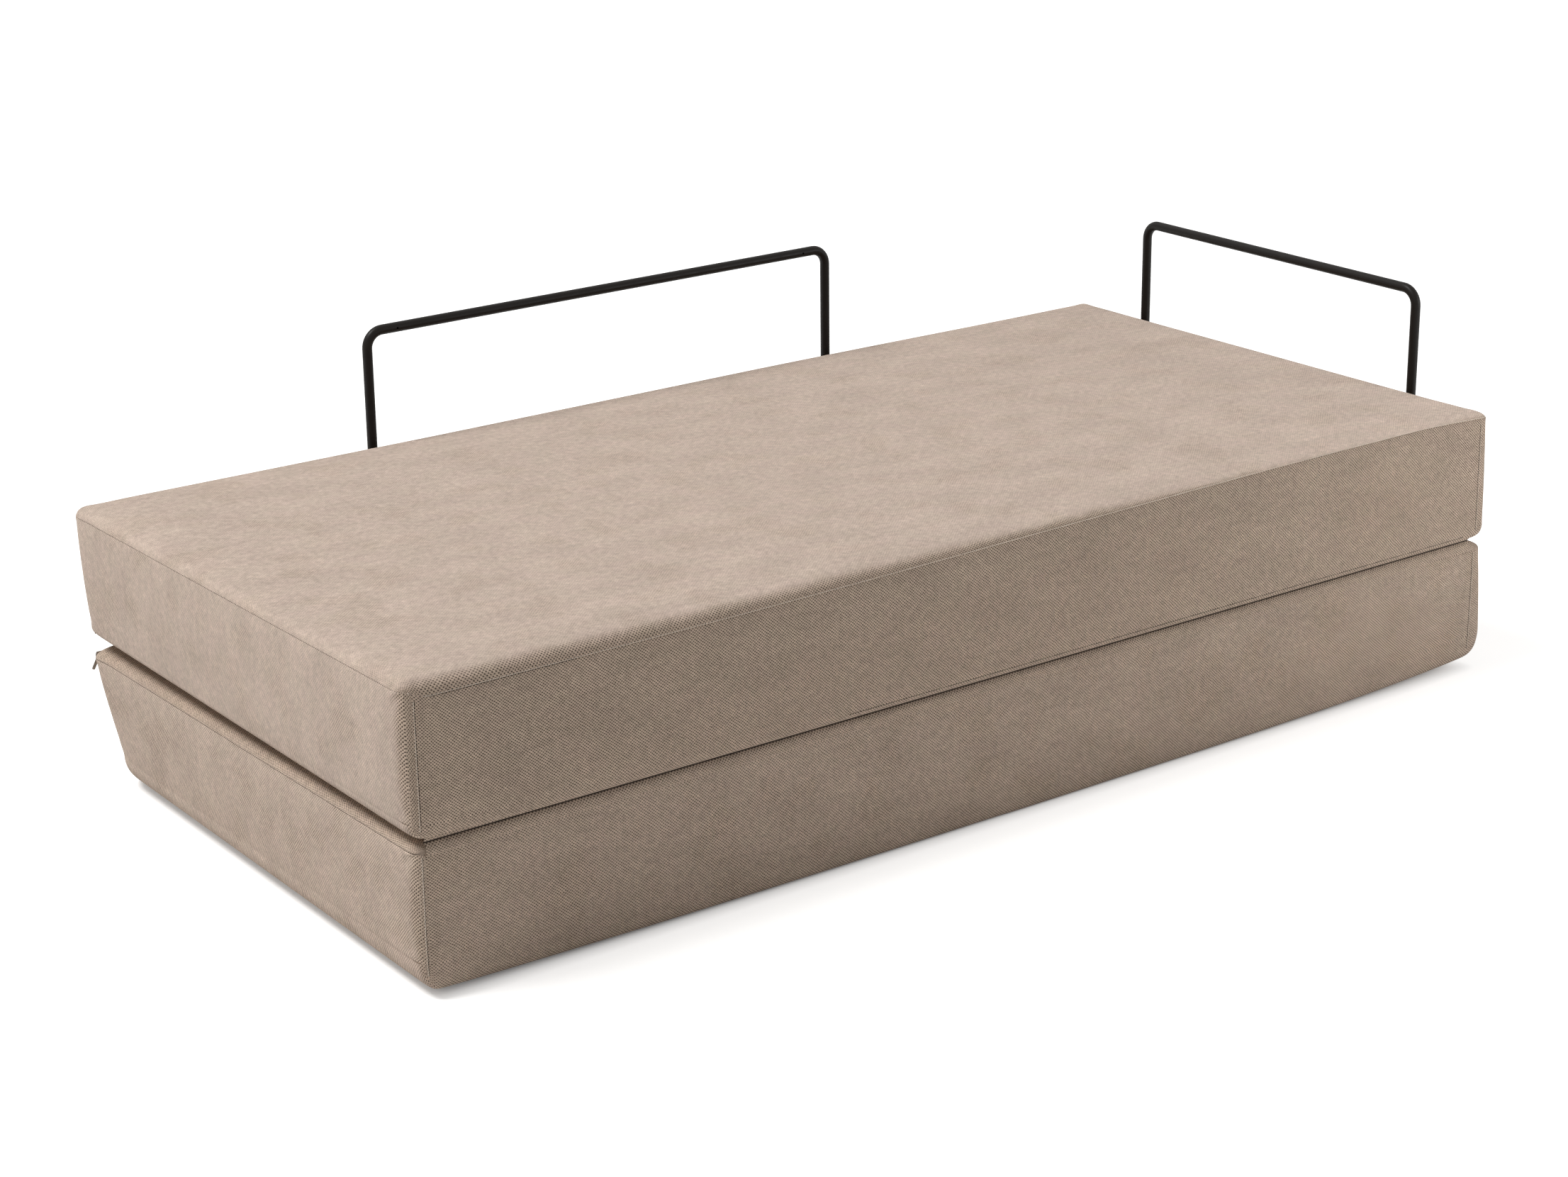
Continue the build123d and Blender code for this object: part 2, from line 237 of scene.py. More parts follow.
class Finish:
    # a material with a Principled shader, and short calls for the nodes that feed it
    def __init__(self, name, roughness, metallic=0.0, specular=0.5):
        self.material = bpy.data.materials.new(name)
        self.material.use_nodes = True
        self.tree = self.material.node_tree
        self.shader = self.tree.nodes["Principled BSDF"]
        self.shader.inputs["Roughness"].default_value = roughness
        self.shader.inputs["Metallic"].default_value = metallic
        self.shader.inputs["Specular IOR Level"].default_value = specular

    def node(self, kind, **settings):
        made = self.tree.nodes.new(kind)
        for key, value in settings.items():
            setattr(made, key, value)
        return made

    def feed(self, socket, value):
        if isinstance(value, bpy.types.NodeSocket):
            self.tree.links.new(value, socket)
        else:
            socket.default_value = value

    def fed(self, made, *values):
        for socket, value in zip(made.inputs, values):
            self.feed(socket, value)
        return made.outputs[0]

    def calc(self, operation, first, second=0.0, third=0.0):
        return self.fed(self.node("ShaderNodeMath", operation=operation), first, second, third)

    def ramp(self, value, low, high, outLow=0.0, outHigh=1.0):
        made = self.node("ShaderNodeMapRange", interpolation_type="SMOOTHSTEP")
        return self.fed(made, value, low, high, outLow, outHigh)

    def grain(self, place, scale, detail=2.0, rough=0.5):
        made = self.node("ShaderNodeTexNoise")
        self.feed(made.inputs["Vector"], place)
        made.inputs["Scale"].default_value = scale
        made.inputs["Detail"].default_value = detail
        made.inputs["Roughness"].default_value = rough
        return made.outputs["Fac"]

    def placed(self, place, turn=(0, 0, 0), scale=(1, 1, 1)):
        made = self.node("ShaderNodeMapping")
        self.feed(made.inputs["Vector"], place)
        made.inputs["Rotation"].default_value = turn
        made.inputs["Scale"].default_value = scale
        return made.outputs[0]

    def here(self):
        return self.node("ShaderNodeTexCoord").outputs["Object"]

    def blend(self, factor, first, second, mode="MIX"):
        made = self.node("ShaderNodeMix", data_type="RGBA", blend_type=mode)
        colours = [s for s in made.inputs if s.type == "RGBA"]
        self.feed(made.inputs[0], factor)
        self.feed(colours[0], first)
        self.feed(colours[1], second)
        return [s for s in made.outputs if s.type == "RGBA"][0]

    def colour(self, value):
        self.feed(self.shader.inputs["Base Color"], value)

    def bump(self, height, distance, strength=1.0):
        made = self.node("ShaderNodeBump")
        made.inputs["Strength"].default_value = strength
        made.inputs["Distance"].default_value = distance
        self.feed(made.inputs["Height"], height)
        self.feed(self.shader.inputs["Normal"], made.outputs[0])


# The cover's weave: a staggered lattice of small openings between thick soft yarns. Its yarn
# tone, openings and knots are painted darker, as painted shade, where a point attribute marks the
# cloth as facing away from the light. Pitches in metres, pairs of strengths for a lit and a shaded
# place
weaveFacts = {
    "pitch": (0.0052, 0.0046),
    "yarn": (0.602, 0.482, 0.404, 1),
    # painted shade: the yarn's darker, warmer tone for places marked as in shade
    "yarnInShade": (0.560, 0.435, 0.343, 1),
    # painted shade: the near-black colour painted in the weave's openings
    "holeAndShade": (0.060, 0.043, 0.031, 1),
    # painted shade: the near-black colour of the shade in the fold between the mattresses
    "foldShade": (0.030, 0.022, 0.016, 1),
    "holeShading": (0.20, 0.92),
    "knotShading": (0.04, 0.20),
    "strokes": (0.52, 0.30),
    "fuzz": 0.60,
    "mottle": 0.33,
    "blotch": 0.18,
    "hue": 0.007,
    "rib": 0.62,
    "patches": 0.30,
    "relief": 0.0007,
    "wander": 0.0024,
    # how fine each grain is
    "patchScale": 11,
    "wanderScale": 60,
    "unevenScale": 170,
    "fuzzScale": 640,
    "mottleScale": 95,
    "strokeScale": (140, 620, 1),
    "blotchScale": (9, 17, 1),
    "hueScale": (22, 30, 1),
}


def wovenFinish(name, facts):
    cloth = Finish(name, roughness=0.95, specular=0.12)
    cloth.shader.inputs["Sheen Weight"].default_value = 0.08
    cloth.shader.inputs["Sheen Roughness"].default_value = 0.6
    panel = cloth.node("ShaderNodeUVMap", uv_map="panels").outputs[0]
    # painted shade: this point attribute marks where the cloth faces away from the light, and there
    # the weave is painted darker and more open
    openWeaveShade = cloth.node("ShaderNodeAttribute", attribute_name="openWeaveShade").outputs["Fac"]
    # in broad patches the nap is thinner and the weave shows through
    patch = cloth.grain(panel, facts["patchScale"], 2.0, 0.6)
    thin = cloth.ramp(patch, 0.47, 0.68, 0.0, facts["patches"])
    openWeaveShade = cloth.calc("MINIMUM", cloth.calc("ADD", openWeaveShade, thin), 1.0)
    wander = cloth.node("ShaderNodeTexNoise", noise_dimensions="2D")
    cloth.feed(wander.inputs["Vector"], panel)
    wander.inputs["Scale"].default_value = facts["wanderScale"]
    shift = cloth.node("ShaderNodeVectorMath", operation="MULTIPLY_ADD")
    cloth.feed(shift.inputs[0], wander.outputs["Color"])
    shift.inputs[1].default_value = (facts["wander"], facts["wander"], 0)
    cloth.feed(shift.inputs[2], panel)
    parts = cloth.node("ShaderNodeSeparateXYZ")
    cloth.feed(parts.inputs[0], shift.outputs[0])
    phaseU = cloth.calc("MULTIPLY", parts.outputs[0], math.tau / facts["pitch"][0])
    phaseV = cloth.calc("MULTIPLY", parts.outputs[1], math.tau / facts["pitch"][1])
    waveV = cloth.calc("SINE", phaseV)
    # two sets of diagonal ribs make the lattice, and the falling one is the stronger
    rising = cloth.calc("COSINE", cloth.calc("SUBTRACT", phaseU, phaseV))
    falling = cloth.calc("COSINE", cloth.calc("ADD", phaseU, phaseV))
    lattice = cloth.calc("SUBTRACT", cloth.calc("MULTIPLY", rising, 1 - facts["rib"]),
                         cloth.calc("MULTIPLY", falling, facts["rib"]))
    # openings differ in size, as the yarns lie more or less apart
    uneven = cloth.calc("MULTIPLY_ADD", cloth.grain(panel, facts["unevenScale"], 1.0), 0.9, -0.45)
    holeAndShade = cloth.calc("MULTIPLY", cloth.ramp(cloth.calc("ADD", lattice, uneven), 0.12, 0.62),
                         cloth.ramp(cloth.calc("ABSOLUTE", waveV), 0.35, 0.85))
    # brushed strokes, fuzz and mottle of the nap, and broad blotches
    strokes = cloth.grain(cloth.placed(panel, (0, 0, 0.75), facts["strokeScale"]), 1.0, 2.0, 0.6)
    fuzz = cloth.grain(panel, facts["fuzzScale"], 3.0, 0.7)
    mottle = cloth.grain(panel, facts["mottleScale"], 3.0, 0.6)
    blotch = cloth.grain(cloth.placed(panel, scale=facts["blotchScale"]), 1.0, 3.0, 0.55)
    strokeShare = cloth.ramp(openWeaveShade, 0, 1, *facts["strokes"])
    light = cloth.calc("MULTIPLY_ADD", cloth.calc("SUBTRACT", strokes, 0.5), strokeShare, 1.0)
    for grain, kind in ((fuzz, "fuzz"), (mottle, "mottle"), (blotch, "blotch")):
        spread = cloth.calc("MULTIPLY_ADD", grain, facts[kind] * 2, 1 - facts[kind])
        light = cloth.calc("MULTIPLY", light, spread)
    # painted light and shade on the weave: knots lighter and hollows darker, more so where the
    # cloth is marked as in shade
    knotShading = cloth.calc("MULTIPLY", lattice, cloth.ramp(openWeaveShade, 0, 1, *facts["knotShading"]))
    light = cloth.calc("MULTIPLY", light, cloth.calc("SUBTRACT", 1.0, knotShading))
    hue = cloth.grain(cloth.placed(panel, (0, 0, 0.3), facts["hueScale"]), 1.0, 1.0)
    tilt = facts["hue"]
    tint = cloth.blend(cloth.ramp(hue, 0.3, 0.7), (1 + tilt, 1 - tilt / 2, 1 + tilt / 2, 1),
                       (1 - tilt, 1 + tilt / 2, 1 - tilt, 1))
    # painted shade: the yarn's lit tone blended towards its darker, warmer tone where the cloth is
    # marked as in shade
    plain = cloth.blend(openWeaveShade, facts["yarn"], facts["yarnInShade"])
    yarn = cloth.blend(1.0, plain, tint, "MULTIPLY")
    grey = cloth.node("ShaderNodeCombineColor")
    for socket in grey.inputs[:3]:
        cloth.feed(socket, light)
    yarn = cloth.blend(1.0, yarn, grey.outputs[0], "MULTIPLY")
    # painted shade: the openings painted near-black, more so where the cloth is marked as in shade
    depth = cloth.calc("MULTIPLY", holeAndShade, cloth.ramp(openWeaveShade, 0, 1, *facts["holeShading"]))
    # painted shade: the fold strip's point attribute paints a dark line in the fold and a fainter
    # shade below it
    foldShade = cloth.node("ShaderNodeAttribute", attribute_name="foldShade").outputs["Fac"]
    cloth.colour(cloth.blend(foldShade, cloth.blend(depth, yarn, facts["holeAndShade"]), facts["foldShade"]))
    # the pile stands up and the openings lie deep, deeper where the weave shows
    pile = cloth.calc("MULTIPLY_ADD", strokes, 0.3, cloth.calc("MULTIPLY", fuzz, 0.3))
    sunk = cloth.calc("MULTIPLY_ADD", lattice, 0.35, cloth.calc("MULTIPLY", holeAndShade, 0.5))
    sunk = cloth.calc("MULTIPLY", sunk, cloth.ramp(openWeaveShade, 0, 1, 0.35, 1.0))
    cloth.bump(cloth.calc("SUBTRACT", pile, sunk), facts["relief"])
    return cloth.material


wovenCloth = wovenFinish("wovenCloth", weaveFacts)
print("material of the cover made")


# Painted shade by facing: where each side's cloth is painted darker with its weave open, the range
# of its normal, and how much there
facingShadeFacts = {
    "upward": (0.15, 0.55),
    "front": (0.06, 0.60),
    "frontUpward": (0.30, 0.33),
    "back": (0.2, 0.8, 0.55),
    "under": (0.25, 0.8, 0.8),
    "end": (0.5, 0.9),
    "shoulder": (0.002, 0.014),
}


def setOpenWeaveShade(mesh, facts, given=None):
    # painted shade by facing: the cloth is marked darker, with its weave open, where it faces the
    # front, the back and the floor, at the ends and on the roll above the top seam; the lit top
    # stays plain
    made = mesh.attributes.get("openWeaveShade") or mesh.attributes.new("openWeaveShade", "FLOAT", "POINT")
    for vert, value in zip(mesh.vertices, made.data):
        if given is not None:
            value.value = given
            continue
        front, back, under = -vert.normal.y, vert.normal.y, -vert.normal.z
        upward = smooth(-under, *facingShadeFacts["upward"])
        low, high = (start + more * upward
                     for start, more in zip(facingShadeFacts["front"], facingShadeFacts["frontUpward"]))
        share = facts["frontShade"] * smooth(front, low, high)
        for facing, side in ((back, "back"), (under, "under")):
            low, high, most = facingShadeFacts[side]
            share += most * smooth(facing, low, high)
        share += facts["endShade"] * smooth(abs(vert.normal.x), *facingShadeFacts["end"])
        aboveSeam = vert.co.z - facts["seams"][1]
        share += facts["shoulderShade"] * smooth(aboveSeam, *facingShadeFacts["shoulder"])
        value.value = min(1.0, share)


# mattresses

mattressSize = {"length": 2.0, "depth": 0.96, "groove": 0.0011,
                "cornerRadius": 0.022, "rightCornerRadius": 0.013}
edgeRows = (0.0, 0.0012, 0.003, 0.006, 0.010, 0.016, 0.023, 0.030, 0.038, 0.047)
panelStep = 0.0155
sewnRow = 0.010  # the upright seams lie this far round the corner, on the front and back
# Each panel's roll from its seam: rise, and reach inwards at each side, over this zone of rows.
# seamLift: how far the top seam lies above its plain height, at the front's left and right, at
# the ends, and at the ends' back corners. topTilt: the top's rise at the left and right end.
# frontOut: how far the front hangs over at its foot.
# endOut: how far each end stands out past the plain box, at (front, back), top then bottom.
# endLift: how far its lower edge curls up, at the front and back, and over what length.
# cornerFlare: how much further out each end's front corner stands. The last three: how much
# painted shade, with the weave open, the cloth takes on the front, at the ends and on the roll
# above the top seam
mattressFacts = {
    "lower": {
        "seams": (0.040, 0.205),
        "bottom": {"rise": -0.040, "front": 0.012, "back": 0.030, "end": (0.024, 0.036),
                   "zone": 0.047, "tight": 2.2},
        "top": {"rise": 0.020, "front": 0.018, "back": 0.034, "end": (0.044, 0.046),
                "zone": 0.047, "tight": 2.2},
        "crown": 0.0,
        "seamLift": (0.0042, 0.0042, 0.0045, 0.0),
        "topTilt": (0.0, 0.0),
        "frontOut": 0.0,
        "endOut": {-1: ((0.004, 0.002), (0.003, -0.016)), 1: ((0.010, 0.002), (0.013, 0.001))},
        "endLift": {-1: (0.0125, 0.0125, 0.36), 1: (0.0225, 0.0225, 0.19)},
        "cornerFlare": {-1: 0.0, 1: 0.017},
        "slackCorner": 0.045,
        "frontShade": 0.74,
        "endShade": 0.38,
        "shoulderShade": 0.90,
        "uvShift": (0.37, 0.21),
    },
    "upper": {
        "seams": (0.2453, 0.4283),
        "bottom": {"rise": -0.020, "front": 0.012, "back": 0.034, "end": (0.020, 0.044),
                   "zone": 0.047, "tight": 2.2},
        "top": {"rise": 0.0165, "front": 0.019, "back": 0.018, "end": (0.018, 0.018),
                "zone": 0.030},
        "crown": 0.0035,
        "seamLift": (-0.0045, 0.0085, 0.0062, 0.0050),
        "topTilt": (0.003, -0.005),
        "frontOut": 0.0024,
        "endOut": {-1: ((0.014, 0.015), (0.012, 0.004)), 1: ((0.012, 0.004), (0.012, 0.004))},
        "endLift": {-1: (0.006, 0.012, 0.10), 1: (0.002, 0.002, 0.10)},
        "cornerFlare": {-1: 0.0, 1: 0.009},
        "slackCorner": 0.0,
        "frontShade": 0.96,
        "endShade": 0.08,
        "shoulderShade": 0.0,
        "uvShift": (0.0, 0.0),
    },
}
# How far the sides swell between their seams, and how uneven each one is
swell = {"front": 0.0006, "back": 0.0035, "end": 0.0030}
lumps = {"top": 0.0012, "front": 0.0004, "back": 0.0012, "end": 0.0013}
clothFacts = {
    "pressure": 4.0,
    "steps": 20,
    "caps": {"front": 0.0006, "back": 0.003, "end": 0.0025, "top": 0.0015},
}
# Where the rails' feet lie under the lower mattress, which bridges them: x and y ranges
footBeds = (
    ((-0.5045, -0.4605), (0.128, 0.55)),
    ((0.4025, 0.4465), (0.128, 0.55)),
    ((0.723, 1.06), (-0.325, -0.281)),
    ((0.723, 1.06), (0.317, 0.361)),
)
footRise = 0.0079  # a foot with its pads
footSlope = (0.006, 0.05)  # how far from a foot the cloth comes down
# Where the top seam sways along the front, and fades to the right, the back and the corners
swayFacts = {
    "front": (-0.62, 0.74),
    "rightFade": (0.84, 0.8),
    "depthFade": (0.0, 0.3),
    "backCorner": (0.40, 0.478),
    "leftCorner": (0.05, 0.005),
}


def rowDistances(length):
    # distances of the rows from one edge to the other: close together along both edges
    last = edgeRows[-1]
    count = round((length - 2 * last) / panelStep)
    middle = [last + (length - 2 * last) * i / count for i in range(1, count)]
    return list(edgeRows) + middle + [length - d for d in reversed(edgeRows)]


def rolled(distance, reach, half, zone, tight=1.0):
    # how far in from the seam, and the share of the rise, at this distance on the panel
    if distance >= zone:
        return reach + (distance - zone) * (half - reach) / (half - zone), 1.0
    angle = distance / zone * math.pi / 2
    return reach * (1 - math.cos(angle)) ** tight, math.sin(angle)


def clothLength(roll, reach, distance, half, tight=1.0):
    # how much cloth lies between the seam and this place on the roll
    steps, zone, rise = 12, roll["zone"], roll["rise"]
    path = [rolled(distance * i / steps, reach, half, zone, tight) for i in range(steps + 1)]
    return sum(math.hypot(b[0] - a[0], (b[1] - a[1]) * rise) for a, b in zip(path, path[1:]))


def roundedCorner(x, y, halfX, halfY, radius):
    u = (abs(x) - halfX + radius) / radius
    v = (abs(y) - halfY + radius) / radius
    if u <= 0 or v <= 0:
        return x, y
    u, v = min(u, 1.0), min(v, 1.0)
    newX = halfX - radius + radius * u * math.sqrt(1 - v * v / 2)
    newY = halfY - radius + radius * v * math.sqrt(1 - u * u / 2)
    return math.copysign(newX, x), math.copysign(newY, y)


def footLift(x, y):
    # the height by which the feet hold the underside off the floor
    nearest = 1.0
    for (lowX, highX), (lowY, highY) in footBeds:
        offX = max(lowX - x, 0, x - highX)
        offY = max(lowY - y, 0, y - highY)
        nearest = min(nearest, math.hypot(offX, offY))
    return footRise * (1 - smooth(nearest, *footSlope))


def seamLift(facts, x, y):
    # the top seam sways along the front and lies higher at the ends
    frontLeft, frontRight, end, endBack = facts["seamLift"]
    halfX = mattressSize["length"] / 2
    fadeFrom, fade = swayFacts["rightFade"]
    front = mixed(frontLeft, frontRight, smooth(x, *swayFacts["front"]))
    front *= (1 - fade * smooth(x, fadeFrom, halfX)) * (1 - smooth(y, *swayFacts["depthFade"]))
    end = mixed(end, endBack, smooth(y, *swayFacts["backCorner"]))
    farther, nearer = swayFacts["leftCorner"]
    return mixed(front, end, smooth(-x, halfX - farther, halfX - nearer))


def cushionPoint(facts, x, y, z):
    # from a point on the plain box to its place on the sewn mattress
    halfX, halfY = mattressSize["length"] / 2, mattressSize["depth"] / 2
    lowSeam, highSeam = facts["seams"]
    offX, offY = halfX - abs(x), halfY - abs(y)
    edge = "front" if y < 0 else "back"
    side = -1 if x < 0 else 1
    onTop, onBottom = z > highSeam - 1e-6, z < lowSeam + 1e-6
    onPanel = onTop or onBottom
    level = (z - lowSeam) / (highSeam - lowSeam)
    t = (y + halfY) / (2 * halfY)
    newX, newY, newZ = x, y, z
    inside = 0.0
    if onPanel:
        panel = facts["top" if onTop else "bottom"]
        tight = panel.get("tight", 1.0) if edge == "front" else 1.0
        endFront, endBack = panel["end"]
        inX, upX = rolled(offX, mixed(endFront, endBack, t), halfX, panel["zone"])
        inY, upY = rolled(offY, panel[edge], halfY, panel["zone"], tight)
        newX = math.copysign(halfX - inX, x)
        newY = math.copysign(halfY - inY, y)
        inside = upX * upY
        newZ = z + panel["rise"] * inside
        if onTop:
            left, right = facts["topTilt"]
            newZ += inside * (left * smooth(-x, 0.3, halfX) + right * smooth(x, 0.2, halfX))
        if onTop and facts["crown"]:
            domed = smooth(offX, panel["zone"], 0.3) * smooth(offY, panel["zone"], 0.25)
            uneven = noise.noise(Vector((x * 5, y * 6, 3.1))) * smooth(min(offX, offY), 0.0, 0.1)
            newZ += facts["crown"] * domed + lumps["top"] * uneven
    newZ += seamLift(facts, x, y) * max(0.0, level) * (1 - inside)
    slack = facts["slackCorner"] * (1 - level) * (x < 0 and y > 0)
    radius = mattressSize["rightCornerRadius" if x > 0 and y < 0 else "cornerRadius"] + slack
    newX, newY = roundedCorner(newX, newY, halfX, halfY, radius)
    # the ends stand out by different amounts and swell between their seams
    (frontTop, backTop), (frontLow, backLow) = facts["endOut"][side]
    out = mixed(frontTop, backTop, t) * level + mixed(frontLow, backLow, t) * (1 - level)
    bow = 4 * level * (1 - level)
    out += swell["end"] * bow * (1 - 0.5 * (y / halfY) ** 2)
    out += facts["cornerFlare"][side] * (1 - 0.5 * level) * (1 - smooth(y, -halfY, -halfY + 0.13))
    newX += side * out * smooth(abs(x), halfX - 0.16, halfX - 0.01)
    if edge == "front":
        newY -= facts["frontOut"] * (1 - level) * (1 - inside ** 2)
    # near the ends the lower edges curl up, and further in the mattress rests flat
    front, back, length = facts["endLift"][side]
    rests = smooth(offX, 0.03, 0.10) * smooth(offY, 0.03, 0.10)
    curl = mixed(front, back, t) * math.exp(-offX / length)
    newZ += curl * (1 - level) * (1 - 0.9 * rests)
    if onBottom and lowSeam < 0.1:
        newZ = max(newZ, footLift(newX, newY))
    if not onPanel:
        calm = smooth(min(z - lowSeam, highSeam - z), 0.0, 0.05)
        uneven = noise.noise(Vector((x * 6, y * 6, z * 9))) * calm
        if offY < 1e-6:
            along = max(0.0, 1 - (x / halfX) ** 2)
            newY += math.copysign(swell[edge] * bow * along, y)
            newY += lumps[edge] * uneven * smooth(offX, 0, 0.06)
        if offX < 1e-6:
            newX += lumps["end"] * uneven * smooth(offY, 0, 0.06)
    # sewn seams lie in a fine groove
    groove = mattressSize["groove"]
    if onTop and (offX < 1e-6 or offY < 1e-6):
        groove *= smooth(max(offX, offY), 0.0, 0.02)
        newX -= math.copysign(groove, x) * (offX < 1e-6)
        newY -= math.copysign(groove, y) * (offY < 1e-6)
        newZ -= groove * 0.6
    elif abs(offX - sewnRow) < 1e-5 and offY < 1e-6:
        newY -= math.copysign(groove * 0.8, y)
    return newX, newY, newZ


def heldShare(facts, co):
    # 1 where the stuffing may not move the cloth: along seams and where the mattress rests
    lowSeam, highSeam = facts["seams"]
    offX, offY = mattressSize["length"] / 2 - abs(co.x), mattressSize["depth"] / 2 - abs(co.y)
    onTop = co.z > highSeam - 1e-5
    if co.z < lowSeam + 1e-5 or onTop and (not facts["crown"] or min(offX, offY) < 1e-6):
        return 1.0
    return 1.0 if offY < 1e-6 and abs(offX - sewnRow) < 1e-5 else 0.0


def mattressMesh(name, facts):
    height = facts["seams"][1] - facts["seams"][0]
    size = Vector((mattressSize["length"], mattressSize["depth"], height))
    bm = bmesh.new()
    bmesh.ops.create_cube(bm, size=1)
    rows = [rowDistances(length) for length in size]
    for axis in range(3):
        cut = [e for e in bm.edges if abs((e.verts[0].co - e.verts[1].co)[axis]) > 0.5]
        bmesh.ops.subdivide_edges(bm, edges=cut, cuts=len(rows[axis]) - 2, use_grid_fill=True)
    panels = bm.loops.layers.uv.new("panels")
    shiftU, shiftV = facts["uvShift"]
    roll = facts["bottom"]
    roundEnd, roundFront = {}, {}
    for vert in bm.verts:
        index = [round((vert.co[a] + 0.5) * (len(rows[a]) - 1)) for a in range(3)]
        vert.co = Vector([rows[a][index[a]] - size[a] / 2 for a in range(3)])
        vert.co.z += sum(facts["seams"]) / 2
    bm.normal_update()
    bm.verts.index_update()
    sewn = [cushionPoint(facts, *vert.co) for vert in bm.verts]
    for vert in bm.verts:
        pastX, pastY = size.x / 2 - abs(vert.co.x), size.y / 2 - abs(vert.co.y)
        rowX, rowY = round(pastX, 5), round(pastY, 5)
        if rowX not in roundEnd:
            roundEnd[rowX] = clothLength(roll, roll["end"][0], pastX, size.x / 2)
        if rowY not in roundFront:
            roundFront[rowY] = clothLength(roll, roll["front"], pastY, size.y / 2, roll["tight"])
    for face in bm.faces:
        facing = max(range(3), key=lambda a: abs(face.normal[a]))
        centre = face.calc_center_median()
        offX, offY = size.x / 2 - abs(centre.x), size.y / 2 - abs(centre.y)
        under = facing == 2 and centre.z < sum(facts["seams"]) / 2
        if under and min(offX, offY) < 0.1:  # the sides' cloth runs on round the lower edges
            facing = 0 if offX < offY else 1
        elif facing == 1 and offX < sewnRow:  # and the ends' cloth round the corners to the seam
            facing = 3
        for loop in face.loops:
            x, y, z = loop.vert.co
            pastX, pastY = size.x / 2 - abs(x), size.y / 2 - abs(y)
            if under:
                pastX = roundEnd[round(pastX, 5)]
                pastY = roundFront[round(pastY, 5)]
            if facing == 0:
                place = (z - (pastX if under else 0), sewn[loop.vert.index][1])
            elif facing == 1:
                place = (sewn[loop.vert.index][0], z - (pastY if under else 0))
            elif facing == 3:
                place = (z, math.copysign(size.y / 2 + pastX, y))
            else:
                place = (x, y)
            loop[panels].uv = (place[0] + shiftU + 0.013 * facing, place[1] + shiftV)
    held = bm.verts.layers.float.new("held")
    for vert in bm.verts:
        vert[held] = heldShare(facts, vert.co)
        vert.co = sewn[vert.index]
    mesh = meshFrom(bm, name)
    mesh.materials.append(wovenCloth)
    return mesh


def capAt(vert):
    # how far the stuffing may push this point out
    caps = clothFacts["caps"]
    facing = max(range(3), key=lambda a: abs(vert.normal[a]))
    if facing == 2:
        return caps["top"]
    if facing == 0:
        return caps["end"]
    return caps["front" if vert.co.y < 0 else "back"]


def stuffCovers(pieces):
    # Cloth filled by pressure, held along its seams; then each point moves by no more than its cap
    for piece in pieces:
        held = piece.vertex_groups.new(name="held")
        shares = piece.data.attributes["held"].data
        firm = [vert.index for vert, share in zip(piece.data.vertices, shares) if share.value > 0.5]
        held.add(firm, 1.0, "REPLACE")
        cloth = piece.modifiers.new("stuffing", "CLOTH")
        cloth.settings.use_pressure = True
        cloth.settings.uniform_pressure_force = clothFacts["pressure"]
        cloth.settings.effector_weights.gravity = 0
        cloth.settings.vertex_group_mass = "held"
        cloth.point_cache.frame_start = 1
        cloth.point_cache.frame_end = clothFacts["steps"]
    for step in range(1, clothFacts["steps"] + 1):
        scene.frame_set(step)
    graph = bpy.context.evaluated_depsgraph_get()
    swollen = [[vert.co.copy() for vert in piece.evaluated_get(graph).data.vertices]
               for piece in pieces]
    for piece, places in zip(pieces, swollen):
        piece.modifiers.clear()
        piece.vertex_groups.clear()
        for vert, place in zip(piece.data.vertices, places):
            move = place - vert.co
            if move.length < 1e-7:
                continue
            cap = capAt(vert)
            vert.co += move * (cap / (cap + move.length))
    scene.frame_set(1)


stuffingFacts = {"margin": 0.05, "waddingInset": 0.0028, "foamInset": 0.0085}


def drawIn(verts, inset):
    # moves each side inwards by the inset; places further in than the margin stay
    margin = stuffingFacts["margin"]
    for axis in range(3):
        low, high = min(v.co[axis] for v in verts), max(v.co[axis] for v in verts)
        for vert in verts:
            value = vert.co[axis]
            pastLow, pastHigh = max(0, low + margin - value), max(0, value - high + margin)
            vert.co[axis] = value + inset * (pastLow - pastHigh) / margin


def makeWadding(name, cover):
    # fibre wadding under the cloth, a hand's breadth of fluff pressed to a few millimetres
    wadding = addObject(name, cover.data.copy())
    wadding.data.materials.clear()
    wadding.data.materials.append(waddingFinish)
    drawIn(wadding.data.vertices, stuffingFacts["waddingInset"])
    return wadding


def waddingMaterial():
    fluff = Finish("fibreWadding", roughness=1.0, specular=0.1)
    here = fluff.here()
    strands = fluff.grain(fluff.placed(here, scale=(90, 420, 260)), 1.0, 3.0, 0.65)
    clumps = fluff.grain(here, 45, 2.0)
    light = fluff.calc("MULTIPLY", strands, clumps)
    shade, pale = (0.66, 0.66, 0.64, 1), (0.86, 0.86, 0.85, 1)
    fluff.colour(fluff.blend(fluff.ramp(light, 0.1, 0.45), shade, pale))
    fluff.bump(strands, 0.001)
    return fluff.material


def dimmed(tone, share):
    return tuple(part * share for part in tone[:3]) + (1,)


